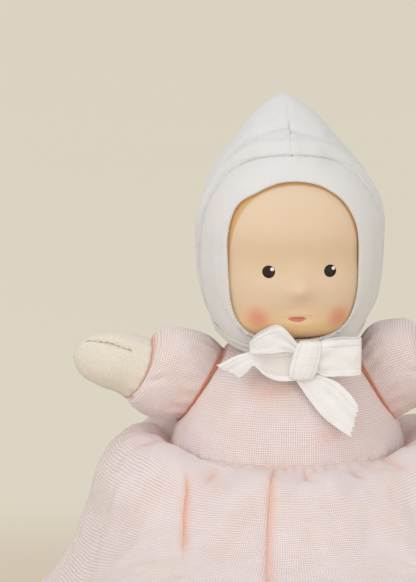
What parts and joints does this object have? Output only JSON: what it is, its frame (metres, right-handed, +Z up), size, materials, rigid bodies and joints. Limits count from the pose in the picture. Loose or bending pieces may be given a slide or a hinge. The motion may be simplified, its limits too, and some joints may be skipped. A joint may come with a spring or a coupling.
{
  "type": "baby doll",
  "caption": "Seated soft baby doll: moulded rubber head in a pointed bonnet tied with a bow, stuffed muslin body, mitten hands and gathered skirt; head turns, sewn limbs swing.",
  "frame": {"origin": "middle of the flat seat, on the surface the doll sits on", "axes": "+Z up, the doll faces -Y, its own left hand is on +X"},
  "size_m": [0.2126, 0.2603, 0.2181],
  "materials": {
    "natural_rubber": "matte moulded natural rubber with painted eyes, mouth and cheeks",
    "white_jersey": "fine white cotton jersey and ribbon",
    "pink_muslin": "pale pink double-gauze muslin",
    "cream_velour": "cream cotton velour",
    "wool_stuffing": "loose wool stuffing"
  },
  "bodies": {
    "torso": {"bodice_front": "pink_muslin", "bodice_back": "pink_muslin", "seat_cover": "pink_muslin", "torso_stuffing": "wool_stuffing", "skirt": "pink_muslin", "neck_cord": "white_jersey"},
    "head": {"head_shell": "natural_rubber", "bonnet_panel_left": "white_jersey", "bonnet_panel_right": "white_jersey", "bonnet_band": "white_jersey", "bonnet_binding": "white_jersey", "bonnet_tie_left": "white_jersey", "bonnet_tie_right": "white_jersey", "bow_knot": "white_jersey", "bow_loop_left": "white_jersey", "bow_loop_right": "white_jersey", "bow_tail_left": "white_jersey", "bow_tail_right": "white_jersey"},
    "arm_left": {"sleeve_left": "pink_muslin", "hand_left": "cream_velour", "arm_stuffing_left": "wool_stuffing"},
    "arm_right": {"sleeve_right": "pink_muslin", "hand_right": "cream_velour", "arm_stuffing_right": "wool_stuffing"},
    "leg_left": {"leg_cover_left": "pink_muslin", "foot_left": "cream_velour", "leg_stuffing_left": "wool_stuffing"},
    "leg_right": {"leg_cover_right": "pink_muslin", "foot_right": "cream_velour", "leg_stuffing_right": "wool_stuffing"}
  },
  "joints": [
    {"name": "neck_turn", "type": "hinge", "parent": "torso", "child": "head", "pos_m": [0, 0, 0.117], "axis": [0, 0, 1], "range_deg": [-20, 20]},
    {"name": "shoulder_left", "type": "hinge", "parent": "torso", "child": "arm_left", "pos_m": [0.04172, 0, 0.097], "axis": [0.4226, 0, -0.9063], "range_deg": [-25, 25], "stiffness_Nm_per_rad": 0.02},
    {"name": "shoulder_right", "type": "hinge", "parent": "torso", "child": "arm_right", "pos_m": [-0.04172, 0, 0.097], "axis": [0.4226, 0, 0.9063], "range_deg": [-25, 25], "stiffness_Nm_per_rad": 0.02},
    {"name": "hip_left", "type": "hinge", "parent": "torso", "child": "leg_left", "pos_m": [0.022, -0.03235, 0.012], "axis": [0.9816, 0.1908, 0], "range_deg": [0, 70]},
    {"name": "hip_right", "type": "hinge", "parent": "torso", "child": "leg_right", "pos_m": [-0.022, -0.03235, 0.012], "axis": [0.9816, -0.1908, 0], "range_deg": [0, 70]}
  ]
}
